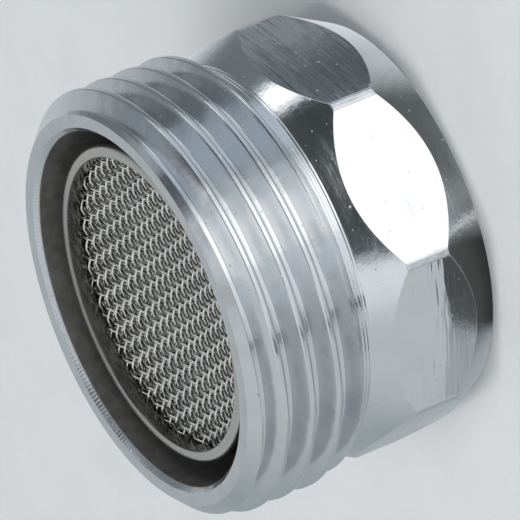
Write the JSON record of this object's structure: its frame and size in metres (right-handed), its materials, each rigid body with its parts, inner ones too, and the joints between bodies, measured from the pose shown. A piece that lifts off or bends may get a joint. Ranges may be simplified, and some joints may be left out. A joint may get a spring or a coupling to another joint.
{
  "type": "tap thread adapter",
  "caption": "Chromed tap thread adapter with a male pipe thread at the mouth, an octagonal collar, a female tap thread below and a mesh outlet insert inside.",
  "frame": {"origin": "centre of the flat end of the female side, which it stands on", "axes": "+Z along the common thread axis, from the female end to the male mouth; one collar flat is square to -Y"},
  "size_m": [0.0264, 0.0264, 0.0172],
  "materials": {
    "chromed_brass": "bright, with fine turning marks",
    "insert_steel": "drawn sleeve with a plain turned lip",
    "plate_plastic": "matt",
    "steel_mesh": "drawn wire",
    "washer_rubber": "matt"
  },
  "bodies": {
    "root": {"adapter_body": "chromed_brass", "sealing_washer": "washer_rubber", "insert_housing": "insert_steel", "jet_plate": "plate_plastic", "outlet_screen": "steel_mesh", "inner_screen": "steel_mesh", "clamp_ring": "plate_plastic"}
  },
  "joints": []
}
